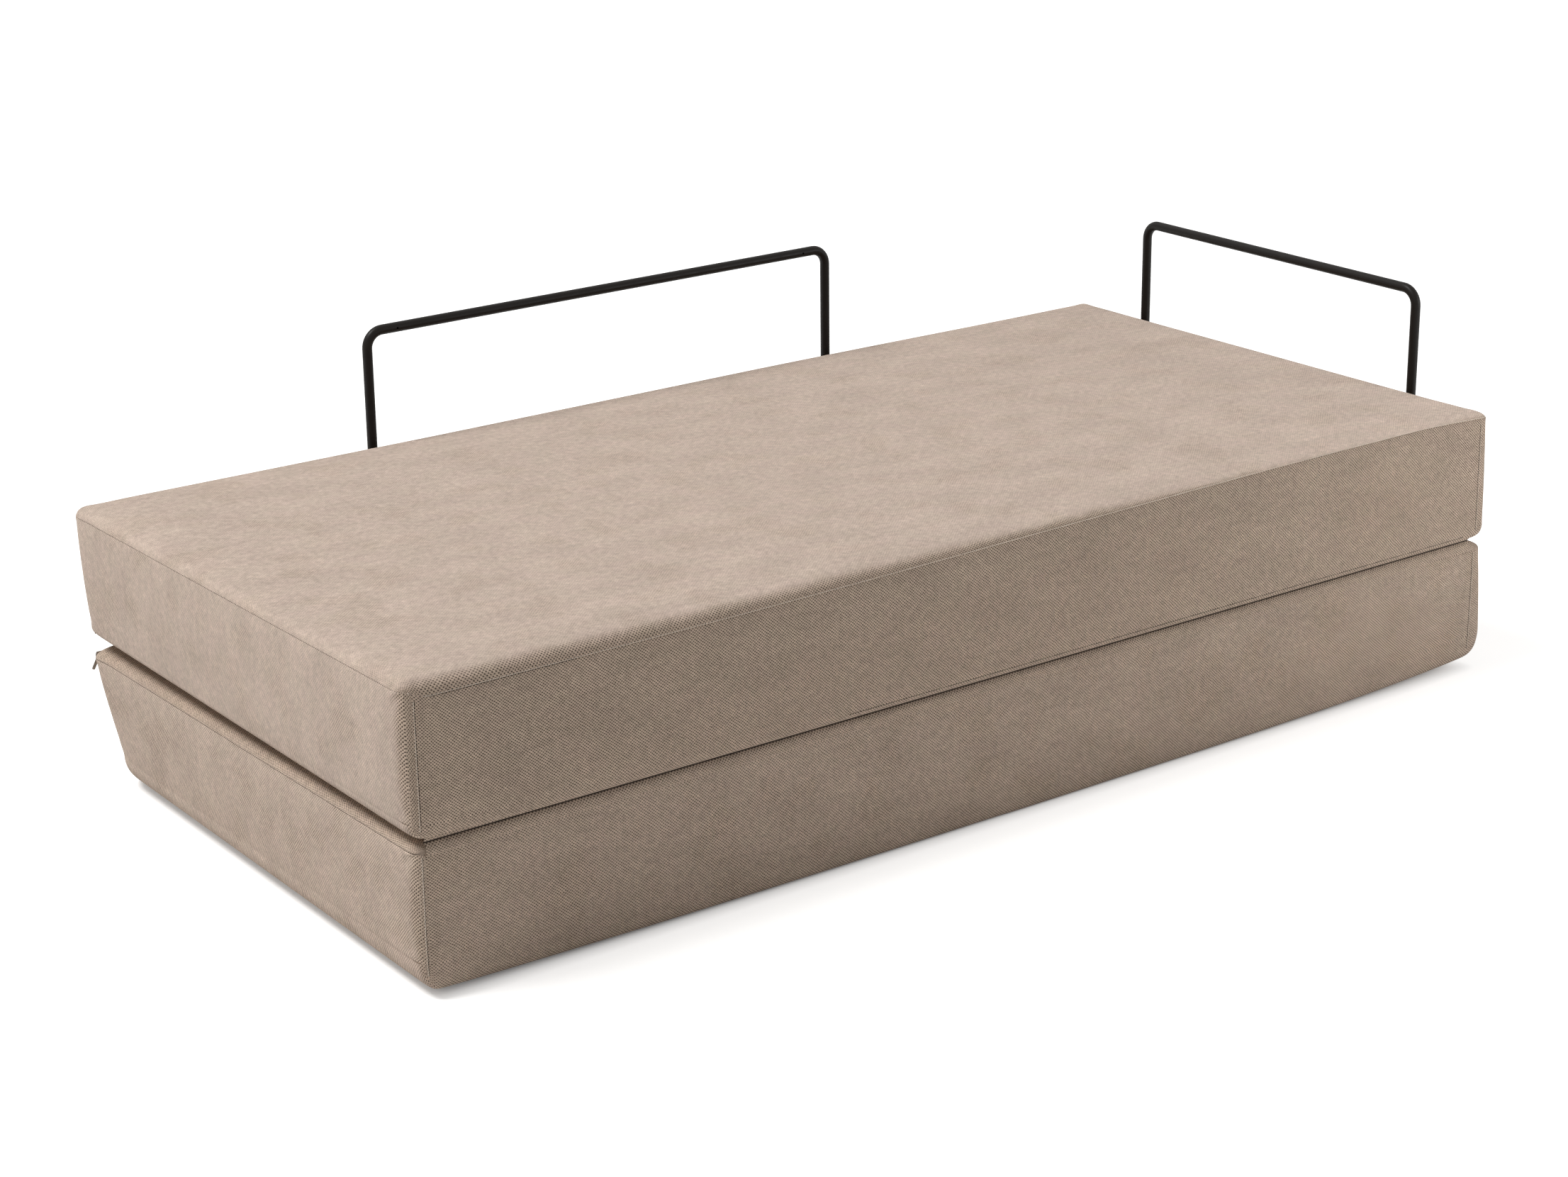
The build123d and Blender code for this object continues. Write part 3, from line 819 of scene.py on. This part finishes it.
def foamMaterial(name, tone):
    # cut foam: fine open cells and the faint ribs that the band knife leaves
    foam = Finish(name, roughness=0.95, specular=0.1)
    here = foam.here()
    cells = foam.node("ShaderNodeTexVoronoi")
    foam.feed(cells.inputs["Vector"], here)
    cells.inputs["Scale"].default_value = 900
    ribs = foam.grain(foam.placed(here, scale=(2, 2, 380)), 1.0, 1.0)
    depth = foam.calc("MULTIPLY", cells.outputs["Distance"], 0.7)
    shade = foam.calc("MULTIPLY_ADD", ribs, 0.3, depth)
    foam.colour(foam.blend(foam.ramp(shade, 0.1, 0.7), dimmed(tone, 0.72), tone))
    foam.bump(cells.outputs["Distance"], 0.0006)
    return foam.material


# Layers of foam inside each mattress, cut level where the CAD layers end
foamSlots = {"foam_core": "firm_foam", "bottom_foam": "soft_foam", "top_foam": "soft_foam"}


def makeFoam(level, layer, cover, material):
    name = level + "_" + layer
    low, high = (corner[2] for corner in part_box(name))
    bm = bmesh.new()
    bm.from_mesh(cover.data)
    drawIn(bm.verts, stuffingFacts["foamInset"])
    for height, facing in ((low, -1), (high, 1)):
        block = bm.verts[:] + bm.edges[:] + bm.faces[:]
        cut = bmesh.ops.bisect_plane(bm, geom=block, dist=1e-6, plane_co=(0, 0, height),
                                     plane_no=(0, 0, facing), clear_outer=True)
        rim = [g for g in cut["geom_cut"] if isinstance(g, bmesh.types.BMEdge)]
        bmesh.ops.holes_fill(bm, edges=rim, sides=0)
    bmesh.ops.recalc_face_normals(bm, faces=bm.faces)
    foam = addObject(level + layer.title().replace("_", ""), meshFrom(bm, name))
    foam.data.materials.clear()
    foam.data.materials.append(material)
    return foam


waddingFinish = waddingMaterial()
foamFinishes = {
    "firm_foam": foamMaterial("firmFoam", (0.62, 0.60, 0.52, 1)),
    "soft_foam": foamMaterial("softFoam", (0.78, 0.76, 0.70, 1)),
}
covers = {}
for level, facts in mattressFacts.items():
    covers[level] = addObject(level + "Mattress", mattressMesh(level + "Mattress", facts))
stuffCovers(list(covers.values()))
for level, cover in covers.items():
    stuffing = [(makeWadding(level + "Wadding", cover), "wadding", "wadding", 0.9)]
    for layer, slot in foamSlots.items():
        stuffing.append((makeFoam(level, layer, cover, foamFinishes[slot]), layer, slot, 1.0))
    # painted shade: each point of the cover is marked by the way it faces
    setOpenWeaveShade(cover.data, mattressFacts[level])
    subdivided(cover)
    for piece, node, slot, fill in [(cover, "cover", "cover_fabric", 0.95)] + stuffing:
        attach(piece, level + "_mattress")
        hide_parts(level + "_" + node)
print("mattresses stuffed")

bpy.context.view_layer.update()
lookGraph = bpy.context.evaluated_depsgraph_get()
skins = {level: BVHTree.FromObject(cover, lookGraph) for level, cover in covers.items()}


# rails and fasteners: CAD nodes with their finishes

def dress(material, *names):
    for name in names:
        node = nodes[name]
        node.data.materials.clear()
        node.data.materials.append(material)


def railMaterial():
    # satin near-black powder coat, rubbed a little paler on its high spots
    coat = Finish("powderCoat", roughness=0.45, specular=0.16)
    here = coat.here()
    peel = coat.grain(here, 900, 2.0)
    rubbed = coat.ramp(coat.grain(here, 14, 4.0, 0.65), 0.58, 0.75)
    coat.colour(coat.blend(rubbed, (0.0075, 0.0055, 0.0042, 1), (0.014, 0.011, 0.0085, 1)))
    shine = coat.ramp(coat.grain(here, 60, 3.0), 0.3, 0.7, 0.38, 0.5)
    coat.feed(coat.shader.inputs["Roughness"], shine)
    coat.bump(peel, 0.00012)
    return coat.material


def zincMaterial(name, tone):
    # bright zinc with faint spangle and fine scratches
    zinc = Finish(name, roughness=0.35, metallic=1.0)
    here = zinc.here()
    spangle = zinc.grain(here, 420, 3.0)
    scratches = zinc.grain(zinc.placed(here, (0.2, 0.1, 0.6), (60, 2400, 1500)), 1.0, 2.0)
    zinc.colour(zinc.blend(spangle, dimmed(tone, 0.8), tone))
    zinc.feed(zinc.shader.inputs["Roughness"], zinc.ramp(scratches, 0.3, 0.7, 0.28, 0.5))
    zinc.bump(scratches, 0.00003)
    return zinc.material


def feltMaterial():
    felt = Finish("pressedFelt", roughness=1.0, specular=0.1)
    here = felt.here()
    fibres = felt.grain(felt.placed(here, (0.4, 0.2, 0.9), (500, 1400, 900)), 1.0, 3.0, 0.7)
    felt.colour(felt.blend(fibres, (0.035, 0.032, 0.030, 1), (0.12, 0.11, 0.10, 1)))
    felt.bump(fibres, 0.0005)
    return felt.material


railCoat = railMaterial()
zincPlate = zincMaterial("zincPlate", (0.62, 0.63, 0.64, 1))
zipMetal = zincMaterial("zipMetal", (0.50, 0.48, 0.45, 1))
pressedFelt = feltMaterial()
for rail, feet in (("back_rail", ("left_foot", "right_foot")),
                   ("side_rail", ("front_foot", "rear_foot"))):
    dress(railCoat, rail + "_tube", *(rail + "_" + foot for foot in feet))
    dress(zincPlate, rail + "_inserts", rail + "_screws")
    dress(pressedFelt, rail + "_floor_pads")
for level in covers:
    dress(zipMetal, *(level + "_zip_" + part for part in ("slider", "pull", "stops")))
print("rails and fasteners dressed")


# fold strip

# Section from the upper mattress down to the lower one: y and z of its outer face. Both ends
# are sewn in behind the cover, and the valley between the two mattresses is the hinge
foldFacts = {
    "section": (
        (-0.4772, 0.2530), (-0.4772, 0.2380), (-0.4772, 0.2320), (-0.4770, 0.2290),
        (-0.4767, 0.2275), (-0.4761, 0.2265), (-0.4750, 0.2258), (-0.4740, 0.2254),
        (-0.4735, 0.22515), (-0.4740, 0.2249), (-0.4748, 0.2244), (-0.4760, 0.2236),
        (-0.4778, 0.2222), (-0.4794, 0.2200), (-0.4804, 0.2175), (-0.4810, 0.2145),
        (-0.4812, 0.2115), (-0.4810, 0.2090), (-0.4803, 0.2074), (-0.4790, 0.2063),
        (-0.4780, 0.2010),
    ),
    "ends": 0.990,
    "steps": 132,
    "thickness": 0.0011,
    # how much painted shade, with open weave, the strip takes down in the fold
    "openWeaveShade": 0.95,
    # its own uneven course, none in the valley
    "valley": 0.22515,
    "waver": 0.0006,
    # painted shade in the fold: the height of its dark line, then strength and reach of the line
    # and of the shade below it
    "creaseAt": 0.2250,
    "line": (0.78, 0.0003, 0.0017),
    "shade": (0.2, 0.001, 0.009),
}


def makeFoldStrip(facts):
    bm = bmesh.new()
    first = [bm.verts.new((-facts["ends"], y, z)) for y, z in facts["section"]]
    edges = [bm.edges.new(pair) for pair in zip(first, first[1:])]
    step = 2 * facts["ends"] / facts["steps"]
    bmesh.ops.spin(bm, geom=first + edges, cent=(0, 0, 0), axis=(1, 0, 0), dvec=(step, 0, 0),
                   angle=0, steps=facts["steps"], use_duplicate=False)
    bmesh.ops.recalc_face_normals(bm, faces=bm.faces)
    if sum(f.normal.y for f in bm.faces) > 0:
        bmesh.ops.reverse_faces(bm, faces=bm.faces)
    panels = bm.loops.layers.uv.new("panels")
    for face in bm.faces:
        for loop in face.loops:
            loop[panels].uv = (loop.vert.co.x + 0.11, loop.vert.co.z * 1.1)
    for vert in bm.verts:
        off = abs(vert.co.z - facts["valley"])
        wave = noise.noise(Vector((vert.co.x * 9, 0, vert.co.z * 30)))
        vert.co.z += facts["waver"] * wave * smooth(off, 0, 0.008)
    strip = addObject("foldStrip", meshFrom(bm, "foldStrip"))
    strip.data.materials.append(wovenCloth)
    wall = strip.modifiers.new("wall", "SOLIDIFY")
    wall.thickness = facts["thickness"]
    wall.offset = -1
    subdivided(strip)
    bakeModifiers(strip)
    strip.data.shade_smooth()
    # painted shade: the whole strip takes the shaded tone and open weave
    setOpenWeaveShade(strip.data, None, facts["openWeaveShade"])
    # painted shade: a dark line in the fold between the mattresses, and a fainter shade below it
    # that fades further down
    foldShade = strip.data.attributes.new("foldShade", "FLOAT", "POINT")
    line, lineFrom, lineTo = facts["line"]
    shade, shadeFrom, shadeTo = facts["shade"]
    for vert, value in zip(strip.data.vertices, foldShade.data):
        below = facts["creaseAt"] - vert.co.z
        dark = line * (1 - smooth(abs(below), lineFrom, lineTo))
        if below > 0:
            dark += shade * (1 - smooth(below, shadeFrom, shadeTo))
        value.value = dark
    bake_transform(strip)
    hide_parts("lower_fold_leaf", "upper_fold_leaf")


makeFoldStrip(foldFacts)
print("fold strip sewn")


# zips along the back

zipFacts = {
    "ends": 0.992,
    "tapeBack": 0.4796,
    "tapeFace": 0.4805,
    "tapeHalf": 0.0054,
    "toothPitch": 0.002,
    "tooth": (0.0013, 0.0021, 0.0036),
    "toothFace": 0.4821,
    "toothTurn": 0.22,
    "toothRise": 0.00085,
    "coilMargin": 0.003,
    "tapeGap": 0.0004,
    "tapeBevel": 0.0003,
    "ripple": 0.0006,
    "heights": {"lower": 0.205, "upper": 0.2453},
}


def zipClothMaterial():
    # narrow woven tape with ribs along it
    tape = Finish("zipTapeWeave", roughness=0.85, specular=0.2)
    here = tape.here()
    parts = tape.node("ShaderNodeSeparateXYZ")
    tape.feed(parts.inputs[0], here)
    rib = tape.calc("SINE", tape.calc("MULTIPLY", parts.outputs[2], math.tau / 0.0009))
    pick = tape.calc("SINE", tape.calc("MULTIPLY", parts.outputs[0], math.tau / 0.0011))
    weave = tape.calc("MULTIPLY_ADD", rib, 0.35, tape.calc("MULTIPLY_ADD", pick, 0.15, 0.5))
    fade = tape.calc("MULTIPLY_ADD", tape.grain(here, 300, 2.0), 0.4, 0.8)
    tone = tape.ramp(tape.calc("MULTIPLY", weave, fade), 0.05, 0.95)
    tape.colour(tape.blend(tone, (0.20, 0.155, 0.12, 1), (0.42, 0.34, 0.275, 1)))
    tape.bump(weave, 0.0003)
    return tape.material


def coilMaterial():
    coil = Finish("zipCoilNylon", roughness=0.38, specular=0.5)
    here = coil.here()
    tone = coil.grain(here, 240, 2.0)
    coil.colour(coil.blend(tone, (0.24, 0.19, 0.15, 1), (0.40, 0.33, 0.27, 1)))
    coil.bump(coil.grain(here, 3000, 1.0), 0.00005)
    return coil.material


tapeCloth = zipClothMaterial()
coilNylon = coilMaterial()


def vertsIn(geometry):
    return [item for item in geometry if isinstance(item, bmesh.types.BMVert)]


def longEdges(bm):
    return [e for e in bm.edges if abs(e.verts[0].co.x - e.verts[1].co.x) > 1]


def rowOf(bm, shape, pitch, count, start):
    # a row of the same small shape along X: the row is doubled until it is long enough
    bmesh.ops.translate(bm, vec=start, verts=shape)
    row = list(shape)
    row += list({e for v in shape for e in v.link_edges})
    row += list({f for v in shape for f in v.link_faces})
    made = 1
    while made < count:
        copy = bmesh.ops.duplicate(bm, geom=row)["geom"]
        bmesh.ops.translate(bm, vec=(pitch * made, 0, 0), verts=vertsIn(copy))
        row += copy
        made *= 2
    end = start[0] + (count - 0.5) * pitch
    verts = vertsIn(row)
    bmesh.ops.delete(bm, geom=[v for v in verts if v.co.x > end], context="VERTS")
    return [v for v in verts if v.is_valid]


def makeTapes(level, facts):
    height = facts["heights"][level]
    bm = bmesh.new()
    for side in (-1, 1):
        half = bmesh.ops.create_cube(bm, size=1)["verts"]
        depth = facts["tapeFace"] - facts["tapeBack"]
        bmesh.ops.scale(bm, vec=(2 * facts["ends"], depth, facts["tapeHalf"]), verts=half)
        rise = side * (facts["tapeHalf"] / 2 + facts["tapeGap"])
        place = (0, facts["tapeBack"] + depth / 2, height + rise)
        bmesh.ops.translate(bm, vec=place, verts=half)
    bmesh.ops.bevel(bm, geom=longEdges(bm), offset=facts["tapeBevel"], affect="EDGES",
                    segments=2, profile=0.5, material=-1)
    bmesh.ops.subdivide_edges(bm, edges=longEdges(bm), cuts=99, use_grid_fill=True)
    for vert in bm.verts:
        off = vert.co.z - height
        wave = 0.5 + noise.noise(Vector((vert.co.x * 14, off * 90, 0)))
        vert.co.y += facts["ripple"] * smooth(abs(off), 0.0, 0.005) * wave
    tape = addObject(level + "ZipTape", meshFrom(bm, level + "ZipTape"))
    tape.data.materials.append(tapeCloth)
    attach(tape, level + "_mattress")
    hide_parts(level + "_zip_tape")


def makeCoil(level, facts):
    # the closed coil: loops from both tapes that grip each other in the middle
    height = facts["heights"][level]
    bm = bmesh.new()
    pitch = facts["toothPitch"]
    count = int(2 * (facts["ends"] - facts["coilMargin"]) / pitch)
    startX = facts["coilMargin"] - facts["ends"]
    for side in (-1, 1):
        tooth = bmesh.ops.create_icosphere(bm, subdivisions=1, radius=0.5)["verts"]
        bmesh.ops.scale(bm, vec=facts["tooth"], verts=tooth)
        turn = Matrix.Rotation(side * facts["toothTurn"], 3, "Y")
        bmesh.ops.rotate(bm, cent=(0, 0, 0), matrix=turn, verts=tooth)
        shift = (side + 1) * pitch / 4  # the upper teeth stand between the lower ones
        start = (startX + shift, facts["toothFace"], height + side * facts["toothRise"])
        rowOf(bm, tooth, pitch, count, start)
    coil = addObject(level + "ZipCoil", meshFrom(bm, level + "ZipCoil"))
    coil.data.materials.append(coilNylon)
    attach(coil, level + "_mattress")
    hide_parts(level + "_zip_coil")


for level in covers:
    makeTapes(level, zipFacts)
    makeCoil(level, zipFacts)
print("zips closed")


# stitches

# Each run follows its seam on the stuffed cloth, from corner to corner: size of a stitch, and
# how far apart the stitches are
stitchFacts = {
    "seamLine": ((0.0034, 0.0017, 0.0013), 0.0037),
    "needleHole": ((0.0028, 0.0014, 0.0010), 0.0041),
    "hemHole": ((0.0040, 0.0016, 0.0013), 0.0046),
    "thread": ((0.0036, 0.0017, 0.0013), 0.0037),
}


def threadAndSeamShadeMaterial(name, dark, pale):
    thread = Finish(name, roughness=0.7, specular=0.3)
    here = thread.here()
    ply = thread.grain(thread.placed(here, (0.3, 0.5, 0.2), (1500, 4000, 4000)), 1.0, 1.0)
    worn = thread.grain(here, 35, 2.0)
    mix = thread.calc("MULTIPLY_ADD", ply, 0.6, thread.calc("MULTIPLY", worn, 0.4))
    thread.colour(thread.blend(thread.ramp(mix, 0.3, 0.7), dark, pale))
    thread.bump(ply, 0.0001)
    return thread.material


# painted shade: near-black and dark brown beads along the seams, the hem and the needle holes stand
# for the shade sunk in them; the pale beads are real thread
darkSeamShade = threadAndSeamShadeMaterial("darkSeamShadeBeads", (0.028, 0.02, 0.015, 1), (0.07, 0.05, 0.038, 1))
softSeamShade = threadAndSeamShadeMaterial("softSeamShadeBeads", (0.065, 0.048, 0.036, 1), (0.13, 0.098, 0.075, 1))
paleThread = threadAndSeamShadeMaterial("paleThread", (0.60, 0.50, 0.41, 1), (0.86, 0.76, 0.66, 1))


def onSkin(level, points):
    # the nearest places on the cloth, with the directions outwards there
    return [skins[level].find_nearest(Vector(point))[:2] for point in points]


def stitchRun(bm, line, size, pitch, lift):
    reach = [0.0]
    for a, b in zip(line, line[1:]):
        reach.append(reach[-1] + (b[0] - a[0]).length)
    count = max(2, int(reach[-1] / pitch))
    bead = bmesh.ops.create_icosphere(bm, subdivisions=1, radius=0.5)["verts"]
    bmesh.ops.scale(bm, vec=size, verts=bead)
    # lay the straight row along the line: X runs along it, Z stands out from the cloth
    for vert in rowOf(bm, bead, pitch, count, (pitch / 2, 0, 0)):
        number = math.floor(vert.co.x / pitch)
        centre = (number + 0.5) / count * reach[-1]
        step = min(max(1, bisect(reach, centre)), len(reach) - 1)
        t = (centre - reach[step - 1]) / (reach[step] - reach[step - 1])
        ahead = (line[step][0] - line[step - 1][0]).normalized()
        out = line[step - 1][1].lerp(line[step][1], t).normalized()
        side = out.cross(ahead).normalized()
        place = line[step - 1][0].lerp(line[step][0], t)
        along = vert.co.x - (number + 0.5) * pitch
        vert.co = place + ahead * along + side * vert.co.y + out * (vert.co.z + lift)


def makeStitches(name, level, lines, kind, material, lift):
    size, pitch = stitchFacts[kind]
    bm = bmesh.new()
    for line in lines:
        stitchRun(bm, onSkin(level, line), size, pitch, lift)
    stitches = addObject(name, meshFrom(bm, name))
    stitches.data.materials.append(material)
    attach(stitches, level + "_mattress")


def straight(start, end, step=0.012):
    start, end = Vector(start), Vector(end)
    count = max(4, int((end - start).length / step))
    return [start.lerp(end, i / count) for i in range(count + 1)]


def topSeam(level, edge, low, high, above=0.0):
    # along the top seam as it lies on the sewn mattress, or a little above it
    facts = mattressFacts[level]
    x, y = mattressSize["length"] / 2, mattressSize["depth"] / 2
    corners = {"front": ((low, -y, 0), (high, -y, 0)), "back": ((low, y, 0), (high, y, 0)),
               "left": ((-x, low, 0), (-x, high, 0)), "right": ((x, low, 0), (x, high, 0))}
    places = [cushionPoint(facts, point.x, point.y, facts["seams"][1])
              for point in straight(*corners[edge])]
    return [(px, py, pz + above) for px, py, pz in places]


def uprightSeams(low, high, inset):
    # the upright seams, just round each corner on the front and back
    x, y = mattressSize["length"] / 2 - inset, mattressSize["depth"] / 2 + 0.003
    return [straight((endX, sideY, low), (endX, sideY, high))
            for endX in (-x, x) for sideY in (-y, y)]


def endSeams(level):
    return [topSeam(level, edge, -0.466, 0.466) for edge in ("left", "right")]


seamEnd = 0.985  # the runs along the front and back stop this far from the middle
uprights = {"upper": (0.243, 0.4222), "lower": (0.036, 0.204)}
darkInset, paleInset = 0.0035, 0.0015  # of the upright rows from the ends
upperHem = [straight((-0.30, -0.484, 0.2345), (0.97, -0.484, 0.2345))]
# the dark rows below are painted shade in the seams' grooves, the hem and the needle holes; the
# pale rows are thread
makeStitches("upperSeamLines", "upper",
             [topSeam("upper", "front", -seamEnd, -0.74),
              topSeam("upper", "back", -seamEnd, seamEnd)]
             + uprightSeams(*uprights["upper"], darkInset), "seamLine", darkSeamShade, -0.0002)
makeStitches("upperNeedleHoles", "upper", endSeams("upper"), "needleHole", softSeamShade, 0.0)
makeStitches("upperPaleThread", "upper",
             [topSeam("upper", "front", -seamEnd, seamEnd, 0.0016)]
             + uprightSeams(*uprights["upper"], paleInset), "thread", paleThread, 0.0002)
makeStitches("upperHemStitches", "upper", upperHem, "hemHole", darkSeamShade, 0.0)
makeStitches("lowerSeamLines", "lower",
             [topSeam("lower", "front", -seamEnd, -0.60)]
             + uprightSeams(*uprights["lower"], darkInset), "seamLine", darkSeamShade, -0.0002)
makeStitches("lowerNeedleHoles", "lower", endSeams("lower"), "needleHole", softSeamShade, 0.0)
makeStitches("lowerPaleThread", "lower",
             uprightSeams(*uprights["lower"], paleInset), "thread", paleThread, 0.0001)
print("seams stitched")
